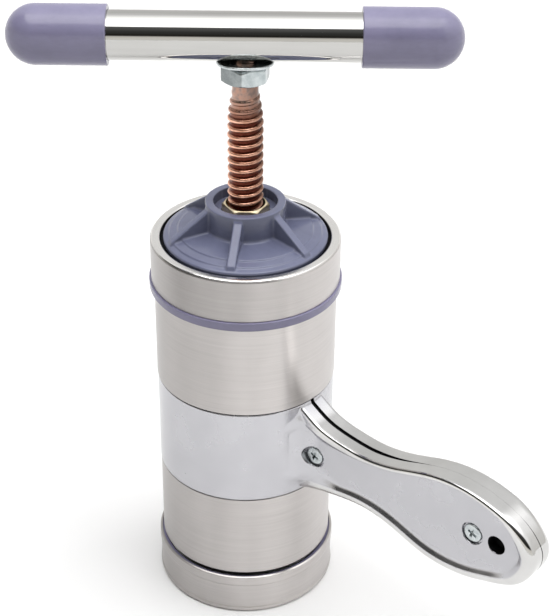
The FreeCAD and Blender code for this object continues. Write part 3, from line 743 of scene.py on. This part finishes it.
# ------------------------------------------------------------------ spindle
def thread():
    """worn square-ish thread, one helical sheet from the shoulder to the plain shank"""
    pitch, n = 3.0, 60
    widths = [0.0, 0.22, 0.42, 0.50, 0.58, 0.68, 0.76, 0.84, 0.94, 1.2, 1.5, 1.8, 2.06, 2.16, 2.24, 2.32, 2.42, 2.50, 2.58, 2.78]
    K = len(widths)
    z0, turns = 64.0, 45
    total = n * turns

    def height(w):
        d = abs(w - 1.5)
        t = min(1.0, max(0.0, (1.06 - d) / 0.72))
        return t * t * (3 - 2 * t)
    verts = []
    for i in range(total + n + 1):
        a = 2 * math.pi * i / n
        for w in widths:
            z = z0 + pitch * i / n + w
            fade = min(1.0, max(0.0, (194.2 - (z0 + pitch * i / n + 1.5)) / 10.5))
            fade = fade ** 0.9
            core = 4.95 - 0.6 * min(1.0, max(0.0, (z - 183.5) / 9.0)) ** 1.3
            wear = 0.05 * math.sin(3.1 * a + 0.7) * math.sin(0.37 * a) - 0.03 * math.sin(7.3 * a)
            r = core + (6.0 + min(0.0, wear) - core) * height(w) * fade
            verts.append((r * math.cos(a), r * math.sin(a), z))
    faces = []

    def at(i, k):
        return (i + n) * K + 0 if k == K else i * K + k
    for i in range(total - 1):
        for k in range(K):
            faces.append([at(i, k), at(i + 1, k), at(i + 1, k + 1), at(i, k + 1)])
    bm = bmesh.new()
    vs = [bm.verts.new(v) for v in verts]
    for f in faces:
        bm.faces.new([vs[i] for i in f])
    bmesh.ops.delete(bm, geom=[v for v in bm.verts if not v.link_faces], context="VERTS")
    for z, outer in ((69.0, False), (196.4, True)):
        bmesh.ops.bisect_plane(bm, geom=bm.verts[:] + bm.edges[:] + bm.faces[:], plane_co=(0, 0, z), plane_no=(0, 0, 1),
                               clear_inner=not outer, clear_outer=outer)
        edge = [e for e in bm.edges if e.is_boundary and all(abs(v.co.z - z) < 1e-4 for v in e.verts)]
        bmesh.ops.contextual_create(bm, geom=edge)
    bm.verts.ensure_lookup_table()
    bm.verts.index_update()
    v = [tuple(p.co) for p in bm.verts]
    f = [[p.index for p in q.verts] for q in bm.faces]
    bm.free()
    return v, f


stub = revolved(fillets([(0, 196.0), (4.35, 196.0), (4.35, 197.65), (3.95, 197.7), (3.95, 212.6, 0.4), (0, 212.6)]), 64)
foot = revolved(fillets([(0, 58.0), (2.5, 58.0), (2.5, 66.0), (4.0, 66.0)][::1] + [(4.0, 69.4), (0, 69.4)]), 64)
foot = revolved(fillets([(2.55, 57.65), (3.95, 57.65, 0.2), (4.0, 69.3), (2.55, 69.3)]), 64)
v, f = joined(thread(), stub, foot)
make("spindle_thread", v, f, COPPER, "spindle", "copper_plate", ("spindle_screw",), sharp=50, weighted=False)


def hexagon(af, z0, z1, az, bore, rim=0.0, top=True, bottom=True, cone=30.0, soft=0.10, n=180, zs=None):
    """nut with turned corners, softly broken edges and a bore"""
    h = z1 - z0
    t = math.tan(math.radians(cone))
    outer = []
    levels = zs or [0, 0.02, 0.06, 0.12, 0.18, 0.24, 0.32, 0.5, 0.68, 0.76, 0.82, 0.88, 0.94, 0.98, 1.0]
    verts, faces = [], []
    ring = []
    inset = [(0.0, bore + 0.3), (0.35, bore)]
    prof = []
    prof.append(("in", bore, z0 + 0.35))
    prof.append(("in", bore + 0.35, z0))
    prof.append(("in", af / 2 - 0.75, z0))
    for q in levels:
        prof.append(("out", q, z0 + q * h))
    prof.append(("in", af / 2 - 0.75, z1))
    prof.append(("in", bore + 0.35, z1))
    prof.append(("in", bore, z1 - 0.35))
    for kind, a, z in prof:
        row = []
        for k in range(n):
            th = 2 * math.pi * k / n
            if kind == "in":
                r = a
            else:
                flats = [(af / 2) / max(1e-3, math.cos(th - az - math.radians(30 + 60 * j))) if math.cos(th - az - math.radians(30 + 60 * j)) > 0.3 else 1e3 for j in range(6)]
                lim = list(flats)
                if top:
                    lim.append(af / 2 - 0.25 + (z1 - z) / t)
                if bottom:
                    lim.append(af / 2 - 0.25 + (z - z0) / t)
                lim.append(af / math.sqrt(3) - 0.12)
                mn = min(lim)
                r = mn - soft * math.log(sum(math.exp(-(x - mn) / soft) for x in lim if x - mn < 20 * soft))
            row.append(len(verts))
            verts.append((r * math.cos(th), r * math.sin(th), z))
        ring.append(row)
    m = len(ring)
    for i in range(m):
        for k in range(n):
            faces.append([ring[i][k], ring[i][(k + 1) % n], ring[(i + 1) % m][(k + 1) % n], ring[(i + 1) % m][k]])
    return verts, faces


v, f = hexagon(14.6, 197.65, 203.35, math.radians(-58.3), 4.05)
make("crossbar_hex_nut", v, f, ZINC_NUT, "spindle", "zinc", ("crossbar_nut",), sharp=60)

v, f = joined(hexagon(14.2, 142.4, 153.3, math.radians(41.3), 6.35, bottom=False, soft=0.08),
              revolved(fillets([(6.35, 139.6), (10.5, 139.6, 0.2), (10.5, 142.4, 0.2), (6.35, 142.4)]), 96))
make("spindle_nut_skin", v, f, BRASS, "lid", "brass", ("spindle_nut",), sharp=60)


def saddle():
    """round washer bent about the tube"""
    poly = fillets([(4.05, 0.0), (9.4, 0.0, 0.35), (9.4, 1.0, 0.45), (4.05, 1.0, 0.2)], 6)
    fine = []
    for i, (r, h) in enumerate(poly):
        fine.append((r, h))
        r2, h2 = poly[(i + 1) % len(poly)]
        if abs(r2 - r) > 2:
            for k in range(1, 8):
                fine.append((r + (r2 - r) * k / 8, h + (h2 - h) * k / 8))

    def warp(x, y, h):
        c, s = math.cos(BAR_AZ), math.sin(BAR_AZ)
        q = -s * x + c * y
        lift = 44.0 - math.sqrt(44.0 ** 2 - q * q)
        return (x, y, 203.37 + h + lift)
    return revolved(fine, 144, warp)


v, f = saddle()
make("saddle_washer", v, f, ZINC, "spindle", "zinc", ("crossbar_washer",), sharp=60)


def crossbar():
    """thin tube, drawn in a little beside the hole of its stud"""
    verts, faces = [], []
    n = 144
    stations = sorted(set([-69.4, -60, -50, -44, 62.5, 50, 40] + [round(-36 + 1.5 * i, 3) for i in range(49)]))
    rows = []
    for inner in (False, True):
        for s in (stations if not inner else stations[::-1]):
            row = []
            for k in range(n):
                a = 2 * math.pi * k / n
                r = TUBE_R if not inner else TUBE_R - 1.0
                down = max(0.0, -math.cos(a))          # a = 0 is up
                u = abs(s)
                dent = 0.17 * math.exp(-((u - 15.0) / 9.5) ** 2)
                r -= dent * down ** 3
                h, q = r * math.cos(a), r * math.sin(a)
                row.append(len(verts))
                verts.append(on_bar(h, q, s))
            rows.append(row)
    m = len(rows)
    for i in range(m):
        for k in range(n):
            faces.append([rows[i][k], rows[i][(k + 1) % n], rows[(i + 1) % m][(k + 1) % n], rows[(i + 1) % m][k]])
    return verts, faces


v, f = crossbar()
make("crossbar_tube_skin", v, f, TUBE, "spindle", "bright_tube", ("crossbar_tube",), weighted=False)


def bar_cap(sign, end, rim, tube_end):
    L = abs(end) - abs(rim) - 0.01
    R = 9.745
    prof = [(8.03, 0.0), (9.3, 0.0)]
    prof += [(R - 0.45 + 0.45 * math.sin(math.radians(t)), 0.45 - 0.45 * math.cos(math.radians(t))) for t in range(0, 91, 15)]
    prof += [(R, 1.6), (R, 5.0), (R, 10.0)]
    prof += [(R * math.cos(math.radians(t)), L - R + R * math.sin(math.radians(t))) for t in range(0, 90, 5)]
    prof += [(0.0, L)]
    depth = abs(tube_end) - abs(rim) + 0.2
    prof += [(0.0, depth), (8.03, depth)]

    def warp(x, y, z):
        return on_bar(x, y, sign * (abs(rim) + z))
    return revolved(prof, 144, warp)


for nm, args in (("left_grip_cap", (-1, -75.9, -43.4, -69.4)), ("right_grip_cap", (1, 69.5, 36.9, 62.5))):
    v, f = bar_cap(*args)
    make(nm, v, f, PURPLE, "spindle", "plastic", (nm.replace("grip", "end"),))

# ------------------------------------------------------------------ lid cap
def lid_top(x, y, z):
    r = np.hypot(x, y)
    top = np.interp(r, [0, 13.0, 22.8, 23.2, 25.75, 26.15, 27.6, 28.1], [145.0, 144.9, 143.8, 143.3, 142.8, 142.3, 141.75, 141.4])
    g = rmax((z - top) * 0.85, r - 28.08, 0.45)
    hub = rmax(r - 13.6, z - 154.2, 0.5)
    g = rmin(g, hub, 0.9)
    for k in range(6):
        a = math.radians(2.0 + 60 * k)
        u, w = x * math.cos(a) + y * math.sin(a), -x * math.sin(a) + y * math.cos(a)
        slope = np.maximum(((u - 13.4) * 9.6 + (z - 153.0) * 13.0) / 16.16, z - 153.0)
        rib = rmax(rmax(np.abs(w) - 1.5, slope, 0.45), u - 26.9, 0.5)
        g = rmin(g, np.maximum(rib, 11.5 - u), 0.75)
    g = rmax(g, -np.maximum(r - 10.8, 150.6 - z), 0.3)
    six = np.maximum.reduce([np.abs(x * math.cos(math.radians(41.3 + 30 + 60 * k)) + y * math.sin(math.radians(41.3 + 30 + 60 * k))) for k in range(3)]) - 7.16
    g = np.maximum(g, -six)
    g = np.maximum(g, -np.maximum(r - 10.56, z - 142.5))
    return np.maximum(g, 139.85 - z)


v, q = net(lid_top, (-29.1, -29.1, 139.2), (29.1, 29.1, 155.0), 0.5 if QUICK else 0.3)
make("lid_cap_deck", v, q.tolist(), LID_BLUE, "lid", "plastic", ("lid_cap",), sharp=60)


def skirt():
    """flange and skirt with the thread that runs on the barrel's neck"""
    inner = [(29.25, 139.5 - 0.3 * i) for i in range(54)]
    poly = fillets([(10.6, 139.5)] + inner + [(30.2, 122.42), (33.2, 122.42, 0.8), (33.2, 125.68, 0.3), (31.95, 125.68),
                                              (31.95, 139.3), (31.4, 139.75), (28.2, 139.75), (27.4, 139.95), (10.6, 139.95)])

    def warp(x, y, z):
        r = math.hypot(x, y)
        if abs(r - 29.25) > 0.01 or z > 138.0:
            return (x, y, z)
        w = abs((z - 125.5 - 3.0 * math.atan2(y, x) / (2 * math.pi) + 1.5) % 3.0 - 1.5)
        t = min(1.0, max(0.0, (1.15 - w) / 0.5))
        k = (29.25 + 0.88 * t * min(1.0, (138.0 - z) / 0.6)) / r
        return (x * k, y * k, z)
    return revolved(poly, 180, warp)


v, f = skirt()
ob = make("lid_cap_skirt", v, f, PURPLE, "lid", "plastic", sharp=40)
# painted shade: the skirt's top faces in the gap under the rolled rim painted black
ob.data.materials.append(GAP_SHADE)
for p in ob.data.polygons:
    if p.center.z > 139.6 * MM and math.hypot(p.center.x, p.center.y) > 27.3 * MM:
        p.material_index = 1

# ------------------------------------------------------------------ side handle
EDGE = [(24.0, 90.9), (31.0, 86.6), (34.4, 84.5), (38.6, 82.3), (43.3, 80.9), (50.0, 79.9), (58.0, 79.4), (65.7, 80.2),
        (72.6, 81.9), (79.2, 84.1), (88.9, 86.8), (96.0, 87.6), (103.6, 87.2), (110.4, 85.8), (116.4, 83.7), (121.3, 80.9),
        (125.2, 77.2), (127.4, 73.2), (127.6, 69.3), (126.5, 65.6), (124.6, 62.2), (121.9, 59.2), (117.4, 56.7),
        (111.4, 54.6), (103.6, 52.2), (96.5, 51.1), (89.5, 51.1), (83.6, 52.0), (78.0, 53.6), (72.4, 55.4), (66.0, 56.9),
        (60.0, 57.5), (54.0, 57.2), (47.5, 56.2), (40.5, 54.7), (35.0, 53.2), (31.0, 51.9), (24.0, 49.2)]


def smooth_line(points, per=24):
    """cubic spline through the points, by chord length"""
    p = np.array(points, float)
    t = np.concatenate([[0], np.cumsum(np.linalg.norm(np.diff(p, axis=0), axis=1))])
    h, n = np.diff(t), len(p)
    A, B = np.eye(n), np.zeros((n, 2))
    for i in range(1, n - 1):
        A[i, i - 1:i + 2] = h[i - 1], 2 * (h[i - 1] + h[i]), h[i]
        B[i] = 6 * ((p[i + 1] - p[i]) / h[i] - (p[i] - p[i - 1]) / h[i - 1])
    M = np.linalg.solve(A, B)
    out = []
    for i in range(n - 1):
        for k in range(per):
            u = h[i] * k / per
            w = h[i] - u
            out.append(M[i] * w ** 3 / (6 * h[i]) + M[i + 1] * u ** 3 / (6 * h[i])
                       + (p[i] / h[i] - M[i] * h[i] / 6) * w + (p[i + 1] / h[i] - M[i + 1] * h[i] / 6) * u)
    out.append(p[-1])
    return np.array(out)


class Inset:
    """distance from the handle's outline, positive inside, read from a fine table"""
    STEP, X0, Z0 = 0.2, 18.0, 46.0

    def __init__(self):
        line = smooth_line(EDGE)
        a, b = line[:-1], line[1:]
        ab = b - a
        xs = self.X0 + self.STEP * np.arange(571)
        zs = self.Z0 + self.STEP * np.arange(236)
        self.t = np.empty((len(xs), len(zs)))
        for i, x in enumerate(xs):
            q = np.stack([np.full(len(zs), x), zs], 1)[:, None, :]
            u = np.clip(((q - a) * ab).sum(2) / (ab * ab).sum(1), 0, 1)
            w = q - (a + u[..., None] * ab)
            d = (w * w).sum(2)
            k = d.argmin(1)
            r = np.arange(len(zs))
            side = ab[k, 0] * w[r, k, 1] - ab[k, 1] * w[r, k, 0]
            self.t[i] = np.sqrt(d[r, k]) * np.where(side < 0, 1, -1)

    def __call__(self, x, z):
        u = np.clip((x - self.X0) / self.STEP, 0, 569.999)
        v = np.clip((z - self.Z0) / self.STEP, 0, 234.999)
        i, j = u.astype(int), v.astype(int)
        u, v, t = u - i, v - j, self.t
        return (t[i, j] * (1 - u) + t[i + 1, j] * u) * (1 - v) + (t[i, j + 1] * (1 - u) + t[i + 1, j + 1] * u) * v


inset = Inset()


def tipped(x):
    """nought along the grip, one at its end"""
    t = np.clip((x - 112.5) / 13.0, 0, 1)
    return t * t * (3 - 2 * t)


def crest(x, z):
    """share of the lower rim, how far clear of the root, and the inset of the crest's inner edge"""
    low = np.clip((72.0 - z) / 7.0, 0, 1)
    low = low * low * (3 - 2 * low)
    root = np.clip((62.0 - x) / 28.0, 0, 1)
    away = np.clip((x - 31.0) / 17.0, 0, 1)
    edge = (1 - low) * (1.6 + 2.0 * root) + low * (3.1 + 1.2 * (1 - away))
    tip = tipped(x)
    return low, away, edge * (1 - tip) + 4.3 * tip


def shell(front):
    """half of the handle with its half of the band; y counts outwards from the seam"""
    def f(x, y, z):
        d = inset(x, z) - 0.09
        r = np.hypot(x, y)
        low, away, edge = crest(x, z)
        tip, near = tipped(x), np.clip((64.0 - x) / 24.0, 0, 1)
        grip = (1 - low) * rmax(-d, y - HALF, 1.3) + low * rmax(-d, y - HALF, 2.2)
        grip = (1 - tip) * grip + tip * rmax(-d, y - HALF, 3.0)
        sunk = rmax(edge - d, PANEL_Y - y, 1.0)
        run = 1.67 * low * (1 + 3.2 * (1 - away)) + (0.35 + 1.3 * near * near * (3 - 2 * near)) * (1 - low) + 2.2 * tip
        ramp_ = ((edge + run - d) * 1.4 + (PANEL_Y - y) * run) / np.hypot(1.4, run)
        sunk = rmax(sunk, ramp_, 0.5)
        grip = np.maximum(rmax(grip, -sunk, 0.35), 28.9 - x)
        band = rmax(r - BAND_R, np.abs(z - 69.215) - 18.165, 0.35)
        soft = np.clip((d - 0.5) / 7.0, 0, 1)
        g = rmin(grip, band, 0.5 + 7.0 * soft * soft * (3 - 2 * soft))
        g = np.maximum(g, np.abs(z - 69.215) - 18.165 - np.maximum(0, x - 36.0))
        g = np.maximum(g, BAND_RI - r)
        g = rmax(g, HOLE[2] - np.hypot(x - HOLE[0], z - HOLE[1]), 0.4)
        if front:
            for sx, sz in SCREWS:
                g = rmax(g, -np.maximum(np.hypot(x - sx, z - sz) - 4.05, 3.0 - y), 0.22)
        return g
    return f


def opening(x):
    """how far each shell stands off the middle plane along the seam"""
    t = np.clip((86.0 - x) / 26.0, 0, 1)
    return 0.02 + 0.78 * t * t * (3 - 2 * t) + 0.17 * np.clip((x - 118.0) / 9.0, 0, 1)


def tongue():
    """register between the two shells, seen only as the bottom of the seam and painted black as its shade"""
    line = smooth_line(EDGE, 6)
    t = np.gradient(line, axis=0)
    t /= np.linalg.norm(t, axis=1)[:, None]
    q = line + np.stack([t[:, 1], -t[:, 0]], 1) * 1.0
    q = q[(q[:, 0] > 29.5) & (q[:, 1] < 87.2) & (q[:, 1] > 51.2)]
    n = len(q)
    v = [(x, y, z) for y in (-0.95, 0.95) for x, z in q]
    f = [list(range(n))[::-1], list(range(n, 2 * n))] + [[i, (i + 1) % n, n + (i + 1) % n, n + i] for i in range(n)]
    return v, f


def casting(sign, nm):
    v, q = net(shell(sign < 0), (-32.0, -0.9, 50.2), (130.8, 32.2, 89.2), 0.62 if QUICK else 0.34)
    bm = bmesh.new()
    vs = [bm.verts.new(p) for p in v]
    for f in q.tolist():
        try:
            bm.faces.new([vs[i] for i in f])
        except ValueError:
            pass
    bmesh.ops.bisect_plane(bm, geom=bm.verts[:] + bm.edges[:] + bm.faces[:], plane_co=(0, 0, 0), plane_no=(0, 1, 0), clear_inner=True)
    rim = [e for e in bm.edges if e.is_boundary]
    bmesh.ops.triangle_fill(bm, edges=rim, use_beauty=True)
    bm.verts.ensure_lookup_table()
    bm.verts.index_update()
    w = np.array([p.co for p in bm.verts])
    w[:, 1] += np.where(w[:, 0] > 20, opening(w[:, 0]), 0.02) * np.clip(1 - w[:, 1] / 3.0, 0, 1)
    faces = [[p.index for p in f.verts] for f in bm.faces]
    bm.free()
    d = inset(w[:, 0], w[:, 2])
    edge = crest(w[:, 0], w[:, 2])[2]
    polish = np.clip((w[:, 0] - 32.0) / 8.0, 0, 1) * np.clip((edge + 0.15 - d) / 0.5, 0, 1)
    w = np.stack([w[:, 0], sign * w[:, 1], w[:, 2]], 1)
    if sign < 0:
        faces = [f[::-1] for f in faces]
    return w, faces, polish


for sign, nm in ((-1, "front"), (1, "back")):
    w, faces, polish = casting(sign, nm)
    ob = make("handle_%s_casting" % nm, w, faces, CHROME, "barrel", "handle_metal", ("handle_%s_shell" % nm,), sharp=50, marks={"rim": polish})
    # painted shade: the hang hole's bore and the faces along the seam painted black
    ob.data.materials.append(GAP_SHADE)
    for f in ob.data.polygons:
        x, y, z = (c / MM for c in f.center)
        if (math.hypot(x - HOLE[0], z - HOLE[1]) < 3.35 and abs(y) < 4.45) or (abs(f.normal.y) > 0.9 and abs(y) < 0.95 and x > 28.0):
            f.material_index = 1
v, f = tongue()
make("handle_register", v, f, GAP_SHADE, "barrel", "handle_metal", sharp=40, weighted=False)

# ------------------------------------------------------------------ carried-over nodes
for node, m in (("barrel_core", CORE), ("handle_screws", ZINC), ("handle_inserts", BRASS),
                ("lid_gasket", SEAL), ("crossbar_lock_nut", ZINC), ("press_plate", PURPLE), ("press_face", STEEL), ("press_seal", SEAL),
                ("press_washer", ZINC), ("press_screw", ZINC), ("die_plate", DIE), ("die_gasket", SEAL), ("collar_ring", PURPLE)):
    o = frame["nodes"][node]
    o.data.materials.clear()
    o.data.materials.append(m)

# ------------------------------------------------------------------ floor
me = bpy.data.meshes.new("floor")
me.from_pydata([(-6, -6, 0), (6, -6, 0), (6, 6, 0), (-6, 6, 0)], [], [(0, 1, 2, 3)])
floor = bpy.data.objects.new("floor", me)
bpy.context.scene.collection.objects.link(floor)
m = Mat("pale_floor", Specular_IOR_Level=0.0)
g = m.noise(m.coords((0.01, 0.01, 0.01)), 1.0, 2.0, 0.5)
m.set(Base_Color=m.mix(m.range(g, 0.3, 0.7, 0, 1), (0.93, 0.93, 0.93), (0.95, 0.95, 0.95)), Roughness=0.9)
me.materials.append(m.m)
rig.stage(floor)

lo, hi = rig.bounds()
json.dump({"cad": [list(cad_lo), list(cad_hi)], "visual": [list(lo), list(hi)]}, open("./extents.json", "w"))
